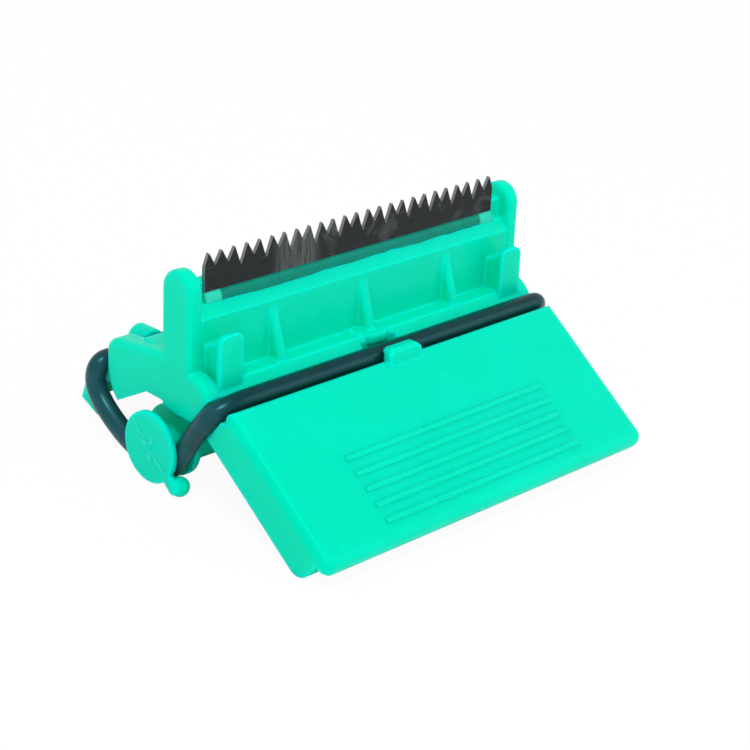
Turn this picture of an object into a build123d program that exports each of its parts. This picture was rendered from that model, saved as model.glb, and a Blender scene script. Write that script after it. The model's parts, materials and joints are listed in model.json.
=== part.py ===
"""Clip-on packing tape cutter: a saddle with a toothed blade, a core bar and a rubber loop.

Every size is seen square to the blade. "Along" runs with the blade, "back" is towards the arms,
"up" is towards the teeth, and a "drop" is a distance below the tooth tips. The tips lie at back 0.
"""
import os
from math import asin, atan2, cos, hypot, pi, radians, sin, sqrt

from build123d import *

os.makedirs("parts", exist_ok=True)

# Blade: a toothed strip of spring steel
tooth_count = 25
tooth_pitch = 2.1
gullet_shallow = 1.6
gullet_deep = 2.4
tooth_land = 0.16
blade_thickness = 0.5
blade_margin = 0.7
blade_shoulder_drop = 5.0
tang_inset = 2.7
tang_drop = 9.0
blade_fit = 0.03

# Bead: the clear glue along the foot of the blade
bead_height = 1.2
bead_crown = 0.2
bead_foot = 0.35

# Wall that carries the blade, with a post at each end
back_lip_drop = 3.5
band_height = 1.55
wall_front = 1.75
wall_rear = 1.7
post_gap = 1.6
post_thickness = 2.2
post_rear = 3.3
post_proud = 0.25
post_top_drop = 1.5
post_edge_radius = 0.6

# Step in front of the wall, and the groove for the front run of the loop
ledge_drop = 15.3
ledge_depth = 2.45
ledge_chamfer = 1.4
groove_width = 3.3
floor_drop = 18.5
web_thickness = 1.7
shoulder_drop = 14.2
shoulder_bulge = 0.6
shoulder_edge_radius = 0.7

# Sloping ribs, the middle one's foot, pegs and their gussets on the wall's front
rib_share = 0.62
rib_thickness = 1.4
rib_top_drop = 8.5
rib_inset = 0.35
rib_edge_radius = 0.45
foot_width = 4.8
foot_rise = 0.25
foot_height = 1.2
foot_shortfall = 0.3
foot_corner = 1.6
foot_edge_radius = 0.4
peg_inset = 4.3
peg_width = 3.8
peg_front = 5.0
peg_depth = 0.8
peg_top_drop = 9.1
peg_corner = 1.1
peg_edge_radius = 0.3
gusset_width = 3.0
gusset_drop = 11.1
gusset_rise = 1.4

# Press plate with its skirts and its hook over the loop
crest_rise = 1.5
crest_land = 0.8
crest_radius = 0.5
plate_slope = 37.2
plate_length = 22.5
plate_thickness = 1.8
plate_corner = 1.5
plate_edge_radius = 1.4
side_wall = 1.8
skirt_depth = 6.1
skirt_shortfall = 1.7
skirt_end_radius = 2.2
tab_width = 5.8
tab_lean = 0.35
tab_overhang = 0.45
tab_rise = 0.15
tab_hook_height = 0.75
tab_corner = 1.0
tab_edge_radius = 0.3
notch_width = 6.4
notch_depth = 0.9

# Cheeks and rear arms
arm_drop = 12.6
arm_fall = 1.7
arm_back = 14.3
arm_thickness = 3.0
arm_corner = 2.0
arm_edge_radius = 0.9
arm_straight = 4.0
arm_heel_bulge = 0.45
cheek_front_below = 1.85
cheek_rear_back = 3.4
cheek_rear_below = 0.65
arch_back = 6.1
arch_below = 0.55
heel_inset = 1.9
heel_below = 4.0
root_drop = 13.4
root_back = 9.3
root_width = 4.5
root_corner = 3.0

# Rear groove, deeper than the front one, its two hooks and the rear flange
rear_step = 1.3
groove_wall = 1.8
groove_wall_drop = 16.6
flange_drop = 18.8
flange_thickness = 1.1
flange_run = 2.4
flange_fall = 8.4
flange_clear = 0.25
flange_skirt = 1.6
flange_skirt_fall = 1.5
flange_skirt_in = 2.2
hook_inset = 8.95
hook_width = 3.8
hook_top_drop = 16.0
hook_overhang = 2.0
hook_lip = 0.7
hook_root_share = 1.5

# Core bar with an inner flange, a neck, an end disc with its gate mark and a nub at each end
bar_radius = 3.35
bar_back = 2.7
bar_gap = 1.3
neck_radius = 1.65
flange_radius = 4.7
inner_flange = 0.8
disc_thickness = 0.7
disc_edge_radius = 0.2
bar_clear = 0.3
nub_radius = 1.3
nub_stem_radius = 0.85
nub_angle = 222.0
nub_offset = 0.6
gate_radius = 0.5
gate_height = 0.1

# Rubber loop
cord_radius = 1.35
cord_clear = 0.25
cord_lift = 0.2
cord_side_clear = 0.2
wrap_clear = 0.3
strand_out = 0.2
slot_relief = 1.6
front_end_bend = 4.5
front_bend = 14.0
rear_bend = 14.0
belly_bend = 3.1
rear_end_bend = 1.9
front_turn = (-3.3, -21.8)
belly_turn = (16.2, -22.4)
rear_turn = (9.4, -26.95)

overrun = 1.0

# Places that follow from the sizes above
tip_span = tooth_pitch * (tooth_count - 1)
blade_half = tip_span / 2 + blade_margin
post_inner = blade_half + post_gap
half_width = post_inner + post_thickness
side_inner = half_width - side_wall
lip_drop = blade_shoulder_drop + bead_height
fold_drop = lip_drop + band_height
lip_front = blade_thickness / 2 + bead_foot
ledge_front = wall_front + ledge_depth
groove_rear = ledge_front + ledge_chamfer
groove_front = groove_rear + groove_width
web_drop = floor_drop + web_thickness
rear_floor_drop = floor_drop + rear_step
rear_web_drop = web_drop + rear_step
crest_drop = floor_drop - crest_rise
arm_straight_drop = arm_drop + arm_fall + arm_straight
cord_drop = floor_drop - cord_lift - cord_radius
rear_cord_drop = cord_drop + rear_step
step_foot_drop = ledge_drop + ledge_chamfer
front_run = -(groove_rear + cord_clear + cord_radius)
rear_run = arm_back + cord_clear + cord_radius
flange_front = arm_back + groove_width
strand_along = half_width + strand_out
neck_inner = strand_along - cord_radius - cord_side_clear
neck_outer = strand_along + cord_radius + cord_side_clear
disc_outer = neck_outer + disc_thickness
bar_drop = web_drop + bar_gap + bar_radius
crest_back = -(groove_front + crest_land)
wrap_radius = neck_radius + wrap_clear + cord_radius
skirt_length = plate_length - skirt_shortfall
slope = radians(plate_slope)
plate_down = (-cos(slope), -sin(slope))
plate_out = (-sin(slope), cos(slope))


def on_plate(down, out):
    """Back and up of a point so far down the plate's slope and so far out of its face."""
    return (
        crest_back + down * plate_down[0] + out * plate_out[0],
        -crest_drop + down * plate_down[1] + out * plate_out[1],
    )


# Stance: the part rests on the rounded skirt ends and on the end discs, or on the nubs if lower
nub_turn = radians(nub_angle)
nub_along = neck_outer - nub_offset
nub_room = cord_radius + wrap_clear + nub_radius
nub_reach = wrap_radius + sqrt(nub_room**2 - (nub_along - strand_along) ** 2)
nub_place = (bar_back + nub_reach * cos(nub_turn), -bar_drop + nub_reach * sin(nub_turn))
skirt_foot = on_plate(skirt_length - skirt_end_radius, skirt_end_radius - skirt_depth)


def lean_onto(centre, radius):
    """Lean at which a floor touches the skirt's end and a round end about centre."""
    run, rise = centre[0] - skirt_foot[0], centre[1] - skirt_foot[1]
    return atan2(rise, run) + asin((skirt_end_radius - radius) / hypot(run, rise))


lean = min(lean_onto((bar_back, -bar_drop), flange_radius), lean_onto(nub_place, nub_radius))
plate_end = on_plate(plate_length - plate_edge_radius, -plate_edge_radius)
flange_foot = (flange_front + flange_thickness + flange_run, -floor_drop - flange_fall + web_thickness)


def stood(point):
    """Back and up of a point once the part leans onto its rest, before it is moved to the origin."""
    back, up = point
    return (back * cos(lean) + up * sin(lean), up * cos(lean) - back * sin(lean))


front_reach = stood(plate_end)[0] - plate_edge_radius
rear_reach = stood(flange_foot)[0]
stance = Plane(
    origin=(0, -(front_reach + rear_reach) / 2, skirt_end_radius - stood(skirt_foot)[1]),
    x_dir=(1, 0, 0),
    z_dir=(0, sin(lean), cos(lean)),
)


def across(along):
    """Plane square to the blade, sketched in back and up."""
    return Plane(stance.from_local_coords((along, 0, 0)), x_dir=stance.y_dir, z_dir=stance.x_dir)


def facing(back):
    """Plane along the blade, sketched in along and up, whose normal looks to the front."""
    return Plane(stance.from_local_coords((0, back, 0)), x_dir=stance.x_dir, z_dir=-stance.y_dir)


def level(drop):
    """Plane square to up, sketched in along and back."""
    return Plane(stance.from_local_coords((0, 0, -drop)), x_dir=stance.x_dir, z_dir=stance.z_dir)


def beside_plate(along):
    """Plane square to the blade, sketched in down the plate's slope and out of its face."""
    return Plane(
        stance.from_local_coords((along, crest_back, -crest_drop)),
        x_dir=stance.y_dir * plate_down[0] + stance.z_dir * plate_down[1],
        z_dir=-stance.x_dir,
    )


def span(outline, from_along, to_along, mode=Mode.ADD):
    """Extrude a polygon of back and up points between two places along the blade."""
    with BuildSketch(across(from_along)) as section:
        with BuildLine():
            Polyline(*outline, close=True)
        make_face()
    extrude(section.sketch, amount=to_along - from_along, mode=mode)


plate_under = (web_drop - crest_drop - plate_thickness * cos(slope)) / sin(slope)
post_front = wall_front + post_proud
post_round = (post_front + post_rear) / 2

# Hook on the press plate, over the middle of the front run
tab_base = on_plate(crest_land, 0)
tab_top = -cord_drop + cord_radius + tab_rise
tab_profile = [
    (tab_base[0], tab_base[1] - crest_land),
    tab_base,
    (tab_base[0] + tab_lean, tab_top - tab_hook_height / 2),
    (tab_base[0] + 2 * tab_lean, tab_top),
    (-groove_front + tab_overhang, tab_top),
    (-groove_front + tab_overhang, tab_top - tab_hook_height / 2),
    (-groove_front, tab_top - tab_hook_height),
    (-groove_front, tab_base[1] - crest_land),
]
with BuildPart() as tab:
    span(tab_profile, -tab_width / 2, tab_width / 2)
    tab_height = tab_top + crest_drop + 2 * crest_land
    with BuildSketch(facing(-groove_front + tab_overhang + overrun)):
        with Locations((0, tab_top - tab_height / 2)):
            outline = Rectangle(tab_width, tab_height)
        fillet(outline.vertices().group_by(Axis.Y)[-1], tab_corner)
    extrude(amount=groove_front - tab_base[0] + 2 * overrun, mode=Mode.INTERSECT)
    fillet(tab.edges().group_by(Axis.Z)[-1], tab_edge_radius)

# Rounded hook on the rear flange, over the rear run
hook_back = flange_front + flange_thickness
hook_profile = [
    (flange_front, -rear_floor_drop),
    (flange_front, -hook_top_drop - hook_root_share * hook_lip),
    (flange_front - hook_overhang, -hook_top_drop - hook_lip),
    (flange_front - hook_overhang, -hook_top_drop),
    (hook_back, -hook_top_drop),
    (hook_back, -rear_floor_drop),
]
hook_along = half_width - hook_inset
with BuildPart() as hook:
    span(hook_profile, hook_along - hook_width / 2, hook_along + hook_width / 2)
    with BuildSketch(facing(flange_front - hook_overhang - overrun)):
        with Locations((hook_along, -hook_top_drop - hook_width / 2)):
            Circle(hook_width / 2)
        with Locations((hook_along, -hook_top_drop - hook_width)):
            Rectangle(hook_width, hook_width)
    extrude(amount=-(hook_overhang + flange_thickness + 2 * overrun), mode=Mode.INTERSECT)
    fillet(hook.edges().group_by(Axis.Z)[-1], hook_lip / 2)

# Press plate with its skirts, rounded along the sides, the front and the crest
crest_profile = [
    (-groove_front, -crest_drop),
    (crest_back, -crest_drop),
    on_plate(plate_under, -plate_thickness / 2),
    on_plate(plate_under, -plate_thickness),
    (-groove_front, -web_drop),
]
with BuildPart() as plate:
    with BuildSketch(beside_plate(half_width)):
        with Locations((plate_length / 2, -plate_thickness / 2)):
            Rectangle(plate_length, plate_thickness)
    extrude(amount=2 * half_width)
    front_face = plate.faces().filter_by(Axis.X, reverse=True).sort_by(Axis.Y)[0]
    fillet(front_face.edges().filter_by(Axis.X, reverse=True), plate_corner)
    for side in (-1, 1):
        with BuildSketch(beside_plate(side * half_width)):
            with BuildLine():
                Polyline(
                    (-skirt_depth / 2, 0),
                    (-skirt_depth / 2, -skirt_depth),
                    (skirt_length, -skirt_depth),
                    (skirt_length, 0),
                    close=True,
                )
            make_face()
            fillet(vertices().group_by(Axis.X)[-1].sort_by(Axis.Y)[0], skirt_end_radius)
        extrude(amount=side * side_wall)
    span(crest_profile, -half_width, half_width)
    over_groove = [
        (-groove_front, -floor_drop),
        (0, -floor_drop),
        (0, -arm_drop),
        (crest_back, -arm_drop),
        (crest_back, -crest_drop),
        (-groove_front, -crest_drop),
    ]
    span(over_groove, -half_width, half_width, mode=Mode.SUBTRACT)
    plate_face = plate.faces().sort_by(SortBy.AREA)[-1]
    fillet(plate_face.edges().sort_by(Axis.Z)[:-1], plate_edge_radius)
    fillet(plate.edges().filter_by(Axis.X).sort_by(Axis.Z)[-2:], crest_radius)

# Post with a full-round top, rounded off inside and outside
with BuildPart() as post:
    post_spring = -post_top_drop - post_round
    with BuildSketch(across(post_inner)):
        with BuildLine():
            RadiusArc((-post_front, post_spring), (post_rear, post_spring), post_round)
            Polyline(
                (post_rear, post_spring),
                (post_rear, -web_drop),
                (-post_front, -web_drop),
                (-post_front, post_spring),
            )
        make_face()
    extrude(amount=post_thickness)
    fillet(post.edges().filter_by(GeomType.CIRCLE), post_edge_radius)

# Rear arm, rounded off outside
with BuildPart() as arm:
    heel = (arm_back - heel_inset, -floor_drop - heel_below)
    with BuildSketch(across(half_width - arm_thickness)):
        with BuildLine():
            Polyline(
                (0, -floor_drop),
                (0, -arm_drop),
                (arm_back, -arm_drop - arm_fall),
                (arm_back, -arm_straight_drop),
            )
            SagittaArc((arm_back, -arm_straight_drop), heel, arm_heel_bulge)
            Polyline(heel, (arch_back, -floor_drop - arch_below), (0, -floor_drop))
        make_face()
        fillet(vertices().sort_by(Axis.X)[-2:].sort_by(Axis.Y)[-1], arm_corner)
    extrude(amount=arm_thickness)
    outside = arm.faces().sort_by(Axis.X)[-1]
    rounded = outside.edges().filter_by(lambda edge: stance.to_local_coords(edge.center()).Y > post_rear)
    fillet(rounded.filter_by(lambda edge: stance.to_local_coords(edge.center()).Z > -web_drop), arm_edge_radius)

# Shoulder between post and front groove, rounded off outside
with BuildPart() as shoulder:
    with BuildSketch(across(post_inner)):
        with BuildLine():
            SagittaArc((-groove_rear, -ledge_drop - ledge_chamfer), (-wall_front, -shoulder_drop), shoulder_bulge)
            Polyline(
                (-wall_front, -shoulder_drop),
                (0, -shoulder_drop + shoulder_bulge),
                (0, -floor_drop),
                (-groove_rear, -floor_drop),
                (-groove_rear, -ledge_drop - ledge_chamfer),
            )
        make_face()
    extrude(amount=post_thickness)
    outside = shoulder.faces().sort_by(Axis.X)[-1]
    upper = outside.edges().filter_by(lambda edge: stance.to_local_coords(edge.center()).Z > -floor_drop)
    fillet(upper.filter_by(lambda edge: stance.to_local_coords(edge.center()).Y < 0), shoulder_edge_radius)

# Saddle: one moulding
wall_profile = [
    (-lip_front, -lip_drop),
    (-wall_front, -fold_drop),
    (-wall_front, -web_drop),
    (wall_rear, -web_drop),
    (wall_rear, -back_lip_drop),
    (0, -back_lip_drop),
    (0, -lip_drop),
]
step_profile = [
    (0, -ledge_drop),
    (-ledge_front, -ledge_drop),
    (-groove_rear, -ledge_drop - ledge_chamfer),
    (-groove_rear, -web_drop),
    (0, -web_drop),
]
web_profile = [
    (-groove_front, -floor_drop),
    on_plate(plate_under, -plate_thickness / 2),
    on_plate(plate_under, -plate_thickness),
    (arm_back - groove_wall - rear_step, -web_drop),
    (arm_back - groove_wall, -rear_web_drop),
    (flange_front, -rear_web_drop),
    (flange_front, -rear_floor_drop),
    (arm_back, -rear_floor_drop),
    (arm_back, -floor_drop),
]
groove_wall_profile = [
    (arm_back - groove_wall, -web_drop),
    (arm_back - groove_wall, -groove_wall_drop),
    (arm_back, -groove_wall_drop),
    (arm_back, -web_drop),
]
flange_profile = [
    (flange_front, -flange_drop),
    (hook_back, -flange_drop),
    (flange_foot[0], flange_foot[1]),
    (flange_foot[0] - flange_thickness, flange_foot[1]),
    (flange_front, -rear_web_drop),
]
flange_skirt_profile = [
    (flange_front, -rear_floor_drop),
    (hook_back, -rear_floor_drop),
    (flange_foot[0], flange_foot[1]),
    (flange_foot[0] - flange_thickness, flange_foot[1] - flange_skirt_fall / 3),
    (flange_foot[0] - flange_thickness - flange_skirt_in, flange_foot[1] - flange_skirt_fall),
]
cheek_profile = [
    (-groove_rear, -floor_drop),
    (-wall_front, -ledge_drop),
    (arch_back, -ledge_drop),
    (arch_back, -floor_drop - arch_below),
    (cheek_rear_back, -floor_drop - cheek_rear_below),
    (-wall_front, -floor_drop - cheek_front_below),
    (-groove_front, -floor_drop - cheek_front_below),
]
rib_profile = [
    (0, -rib_top_drop + rib_inset),
    (-wall_front, -rib_top_drop),
    (-ledge_front, -ledge_drop - rib_inset),
    (0, -ledge_drop - rib_inset),
]
gusset_profile = [
    (0, -gusset_drop),
    (-wall_front, -gusset_drop),
    (-peg_front + peg_depth / 2, -gusset_drop + gusset_rise),
    (-peg_front + peg_depth / 2, -step_foot_drop),
    (0, -step_foot_drop),
]
peg_along = half_width - peg_inset
strand_line = atan2(front_turn[1] + cord_drop, front_turn[0] - front_run)

# Three sloping ribs, rounded off in front
with BuildPart() as ribs:
    for share in (-rib_share, 0, rib_share):
        span(rib_profile, share * peg_along - rib_thickness / 2, share * peg_along + rib_thickness / 2)
    sloping = ribs.edges().filter_by(Axis.X, reverse=True)
    in_front = sloping.filter_by(lambda edge: stance.to_local_coords(edge.center()).Y < -wall_front)
    above_step = in_front.filter_by(lambda edge: stance.to_local_coords(edge.center()).Z > -ledge_drop)
    fillet(above_step, rib_edge_radius)

# Rounded foot of the middle rib, which bulges over the notch
with BuildPart() as foot:
    foot_front = groove_rear - foot_shortfall
    with BuildSketch(level(ledge_drop - foot_rise)):
        with Locations((0, -foot_front / 2)):
            pad = Rectangle(foot_width, foot_front)
        fillet(pad.vertices().group_by(Axis.Y)[0], foot_corner)
    extrude(amount=-foot_height)
    fillet(foot.faces().sort_by(Axis.Z)[-1].edges(), foot_edge_radius)

# Right peg, rounded off in front
with BuildPart() as peg:
    with BuildSketch(facing(-peg_front)):
        with Locations((peg_along, -(peg_top_drop + step_foot_drop) / 2)):
            face = Rectangle(peg_width, step_foot_drop - peg_top_drop)
        fillet(face.vertices().group_by(Axis.Y)[-1], peg_corner)
    extrude(amount=-peg_depth)
    fillet(peg.faces().sort_by(Axis.Y)[0].edges(), peg_edge_radius)

with BuildPart() as saddle:
    # the wall, the step, the floor web, the rear groove wall and the rear flange
    wall_half = post_inner + post_edge_radius
    span(wall_profile, -wall_half, wall_half)
    span(step_profile, -post_inner, post_inner)
    span(web_profile, -side_inner, side_inner)
    span(groove_wall_profile, -side_inner, side_inner)
    flange_half = strand_along - cord_radius - flange_clear
    span(flange_profile, -flange_half, flange_half)

    add(plate.part)

    # one cheek with its shoulder, arm and post
    span(cheek_profile, side_inner, half_width)
    add([post.part, arm.part, shoulder.part])
    root_inner = half_width - arm_thickness - root_width
    with BuildSketch(level(root_drop)) as arm_root:
        with Locations(((root_inner + post_inner) / 2, root_back / 2)):
            pad = Rectangle(post_inner - root_inner, root_back)
        fillet(pad.vertices().group_by(Axis.X)[0].sort_by(Axis.Y)[-1], root_corner)
    extrude(arm_root.sketch, amount=-(web_drop - root_drop))

    # a peg with its gusset, a flange skirt and a rear hook
    span(gusset_profile, peg_along - gusset_width / 2, peg_along + gusset_width / 2)
    span(flange_skirt_profile, flange_half - flange_skirt, flange_half)
    add([peg.part, hook.part])

    mirror(about=Plane.YZ)
    add([ribs.part, tab.part])

    # room for the loop: open groove ends, a slot for each front strand, and a notch behind the hook
    strand_half = cord_radius + cord_lift
    slot_inner = side_inner - slot_relief
    slot_length = skirt_depth + groove_width
    for side in (-1, 1):
        with BuildSketch(across(side * slot_inner)) as groove_end:
            with Locations((-(groove_front + groove_rear) / 2, -floor_drop + groove_width)):
                Rectangle(groove_width, 2 * groove_width)
        extrude(groove_end.sketch, amount=side * (half_width - slot_inner + overrun), mode=Mode.SUBTRACT)
        with BuildSketch(across(side * slot_inner)) as strand_slot:
            with BuildLine():
                drift = (cos(strand_line), sin(strand_line))
                shift = (-drift[1] * strand_half, drift[0] * strand_half)
                start = (front_run, -cord_drop)
                end = (front_run + slot_length * drift[0], -cord_drop + slot_length * drift[1])
                Polyline(
                    (start[0] + shift[0], start[1] + shift[1]),
                    (end[0] + shift[0], end[1] + shift[1]),
                    (end[0] - shift[0], end[1] - shift[1]),
                    (start[0] - shift[0], start[1] - shift[1]),
                    close=True,
                )
            make_face()
        extrude(strand_slot.sketch, amount=side * (half_width - slot_inner + overrun), mode=Mode.SUBTRACT)
        with BuildSketch(across(side * (neck_inner - inner_flange - bar_clear))) as bar_room:
            with Locations((bar_back, -bar_drop)):
                Circle(flange_radius + bar_clear)
        extrude(bar_room.sketch, amount=side * (post_thickness + side_wall), mode=Mode.SUBTRACT)
    with BuildSketch(level(floor_drop)) as notch:
        with Locations((0, -groove_rear + notch_depth / 2)):
            Rectangle(notch_width, notch_depth)
    extrude(notch.sketch, amount=floor_drop - ledge_drop, mode=Mode.SUBTRACT)
    add(foot.part)

    # the slot that holds the blade's foot, and the seat of its ends above it
    slot_half = blade_thickness / 2 + blade_fit
    tang_half = blade_half - tang_inset
    with BuildSketch(facing(-slot_half)) as blade_slot:
        with BuildLine():
            Polyline(
                (-tang_half - blade_fit, -tang_drop - blade_fit),
                (tang_half + blade_fit, -tang_drop - blade_fit),
                (tang_half + blade_fit, -blade_shoulder_drop),
                (blade_half + blade_fit, -blade_shoulder_drop),
                (blade_half + blade_fit, overrun),
                (-blade_half - blade_fit, overrun),
                (-blade_half - blade_fit, -blade_shoulder_drop),
                (-tang_half - blade_fit, -blade_shoulder_drop),
                close=True,
            )
        make_face()
    extrude(blade_slot.sketch, amount=-2 * slot_half, mode=Mode.SUBTRACT)

# Blade: uneven gullets between sharp teeth, and a narrower foot in the wall
blade_points = [(-blade_half, -blade_shoulder_drop), (-blade_half, -gullet_shallow)]
for tooth in range(tooth_count):
    tip = (tooth - (tooth_count - 1) / 2) * tooth_pitch
    blade_points += [(tip - tooth_land / 2, 0), (tip + tooth_land / 2, 0)]
    if tooth < tooth_count - 1:
        deep = tooth % 2 == 0 and tooth > 0
        blade_points.append((tip + tooth_pitch / 2, -gullet_deep if deep else -gullet_shallow))
blade_points += [
    (blade_half, -gullet_shallow),
    (blade_half, -blade_shoulder_drop),
    (tang_half, -blade_shoulder_drop),
    (tang_half, -tang_drop),
    (-tang_half, -tang_drop),
    (-tang_half, -blade_shoulder_drop),
]
with BuildPart() as blade:
    with BuildSketch(facing(-blade_thickness / 2)):
        with BuildLine():
            Polyline(*blade_points, close=True)
        make_face()
    extrude(amount=-blade_thickness)

# Bead: glue with a rounded front along the blade's foot, on the wall's front lip
with BuildPart() as bead:
    with BuildSketch(across(-blade_half)):
        with BuildLine():
            bead_top = (-blade_thickness / 2, -blade_shoulder_drop)
            bead_low = (-lip_front, -lip_drop)
            SagittaArc(bead_top, bead_low, -bead_crown)
            Polyline(bead_low, (bead_top[0], bead_low[1]), bead_top)
        make_face()
    extrude(amount=2 * blade_half)

# Core bar: one moulding, its right half made first
with BuildPart() as bar:
    for from_along, to_along, radius in (
        (0, neck_inner, bar_radius),
        (neck_inner - inner_flange, neck_inner, flange_radius),
        (neck_inner, neck_outer, neck_radius),
        (neck_outer, disc_outer, flange_radius),
    ):
        with BuildSketch(across(from_along)):
            with Locations((bar_back, -bar_drop)):
                Circle(radius)
        extrude(amount=to_along - from_along)
    with BuildSketch(across(neck_outer)):
        with Locations((bar_back, -bar_drop), nub_place):
            Circle(nub_stem_radius)
        make_hull()
    extrude(amount=disc_thickness)
    fillet(bar.faces().sort_by(Axis.X)[-1].edges(), disc_edge_radius)
    with BuildSketch(across(disc_outer)):
        with Locations((bar_back, -bar_drop)):
            Circle(gate_radius)
    extrude(amount=gate_height)
    with Locations(across(nub_along).from_local_coords((*nub_place, 0))):
        Sphere(nub_radius)
    mirror(about=Plane.YZ)


def heading_onto_neck(point, side):
    """Heading of the line from a point that touches the wrap round the neck on one side."""
    back, up = bar_back - point[0], -bar_drop - point[1]
    return atan2(up, back) + side * asin(wrap_radius / hypot(back, up))


front_heading = heading_onto_neck(front_turn, -1)
rear_heading = heading_onto_neck(rear_turn, 1)
gap_back, gap_up = rear_turn[0] - front_turn[0], rear_turn[1] - front_turn[1]
reach = (gap_back * sin(rear_heading) - gap_up * cos(rear_heading)) / sin(rear_heading - front_heading)
neck_turn = (front_turn[0] + reach * cos(front_heading), front_turn[1] + reach * sin(front_heading))

# Rubber loop: its half route along the front groove, round the neck and along the rear groove
loop_turns = [
    (front_run, -cord_drop, front_end_bend),
    (*front_turn, front_bend),
    (*neck_turn, wrap_radius),
    (*rear_turn, rear_bend),
    (*belly_turn, belly_bend),
    (rear_run, -rear_cord_drop, rear_end_bend),
]
with BuildPart() as loop:
    with BuildLine(stance) as route:
        FilletPolyline(
            (0, front_run, -cord_drop),
            *[(strand_along, back, up) for back, up, bend in loop_turns],
            (0, rear_run, -rear_cord_drop),
            radius=[bend for back, up, bend in loop_turns],
        )
    with BuildSketch(across(0)):
        with Locations((front_run, -cord_drop)):
            Circle(cord_radius)
    sweep()
    mirror(about=Plane.YZ)
print("loop length", 2 * route.wire().length, "bends", [bend for back, up, bend in loop_turns])
print("volume over section times length", loop.part.volume / (2 * pi * cord_radius**2 * route.wire().length))

saddle.part.label = "saddle"
blade.part.label = "blade"
bead.part.label = "blade_bead"
bar.part.label = "core_bar"
loop.part.label = "rubber_loop"
export_step(saddle.part, "parts/saddle.step")
export_step(blade.part, "parts/blade.step")
export_step(bead.part, "parts/blade_bead.step")
export_step(bar.part, "parts/core_bar.step")
export_step(loop.part, "parts/rubber_loop.step")
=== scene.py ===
"""A clip-on packing tape cutter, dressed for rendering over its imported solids.

Sizes are millimetres in the cutter's upright frame: along the blade, back towards the rear arms,
and up from the tooth tips. UprightFrame turns them into metres where the cutter stands.
"""
import json
import logging
import math
from dataclasses import dataclass
from enum import Enum

import bmesh
import bpy
from mathutils import Matrix, Vector, noise


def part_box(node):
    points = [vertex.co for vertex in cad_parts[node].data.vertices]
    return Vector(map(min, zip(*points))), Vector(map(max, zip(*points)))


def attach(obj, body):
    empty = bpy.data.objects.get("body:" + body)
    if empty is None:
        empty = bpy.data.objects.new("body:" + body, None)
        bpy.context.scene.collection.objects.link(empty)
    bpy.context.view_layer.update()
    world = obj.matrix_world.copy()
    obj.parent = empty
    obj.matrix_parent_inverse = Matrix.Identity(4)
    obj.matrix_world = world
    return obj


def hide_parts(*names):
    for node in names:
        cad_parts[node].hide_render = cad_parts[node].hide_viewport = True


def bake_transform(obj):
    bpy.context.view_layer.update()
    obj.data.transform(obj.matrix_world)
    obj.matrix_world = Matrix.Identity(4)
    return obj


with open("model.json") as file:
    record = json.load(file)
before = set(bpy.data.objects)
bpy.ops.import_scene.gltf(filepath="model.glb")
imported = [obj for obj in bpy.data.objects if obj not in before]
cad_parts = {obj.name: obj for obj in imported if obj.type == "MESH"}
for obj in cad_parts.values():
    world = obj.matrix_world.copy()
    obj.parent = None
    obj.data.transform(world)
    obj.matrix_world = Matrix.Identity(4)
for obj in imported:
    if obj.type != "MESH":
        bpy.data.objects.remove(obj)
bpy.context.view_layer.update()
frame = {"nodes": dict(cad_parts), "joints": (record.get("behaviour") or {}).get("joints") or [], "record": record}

MM = 0.001
LOG = logging.getLogger("tape_cutter")

Socket = bpy.types.NodeSocket
Colour = tuple[float, float, float, float]
Point = tuple[float, float, float]
Pair = tuple[float, float]
WHITE: Colour = (1.0, 1.0, 1.0, 1.0)


class Body(Enum):
    """The two bodies that the cutter's joint moves apart."""

    SADDLE = "saddle"
    BAR = "bar"


class Slot(Enum):
    """The record's material slots."""

    PLASTIC = "green_plastic"
    STEEL = "blade_steel"
    GLUE = "clear_glue"
    RUBBER = "black_rubber"


def linear(code: str) -> Colour:
    """Turn an sRGB hex colour into linear red, green, blue and alpha.

    Args:
        code: Six hex digits, such as "00e6c3".

    Returns:
        The linear colour, opaque.
    """
    channels = [int(code[place : place + 2], 16) / 255 for place in (0, 2, 4)]
    red, green, blue = (c / 12.92 if c <= 0.04045 else ((c + 0.055) / 1.055) ** 2.4 for c in channels)
    return red, green, blue, 1.0


def per_mm(size: float) -> float:
    """Find the scale of a texture from the size of its features.

    Args:
        size: The features' size, in millimetres.

    Returns:
        The scale, in features to the metre.
    """
    return 1 / (size * MM)


class NodeTree:
    """A node tree under construction."""

    def __init__(self, tree: bpy.types.NodeTree) -> None:
        """Take the tree to build in.

        Args:
            tree: The shader or geometry tree.
        """
        self.tree = tree

    def add(self, kind: str, inputs: dict[int | str, object], **settings: object) -> bpy.types.Node:
        """Add a node with its settings and links.

        Args:
            kind: The node's type name.
            inputs: Socket name or place to a value, or to the socket or node that feeds it.
            settings: Attribute values of the node.

        Returns:
            The new node.
        """
        node = self.tree.nodes.new(kind)
        for name, value in settings.items():
            setattr(node, name, value)
        for key, value in inputs.items():
            source = value.outputs[0] if isinstance(value, bpy.types.Node) else value
            if isinstance(source, Socket):
                self.tree.links.new(source, node.inputs[key])
            else:
                node.inputs[key].default_value = source
        return node

    def calculate(self, operation: str, *values: Socket | float, clamp: bool = False) -> Socket:
        """Add one step of arithmetic.

        Args:
            operation: What it does with its values.
            values: The values, in order.
            clamp: Whether the answer stays between 0 and 1.

        Returns:
            The answer.
        """
        inputs = dict(enumerate(values))
        return self.add("ShaderNodeMath", inputs, operation=operation, use_clamp=clamp).outputs[0]


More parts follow.
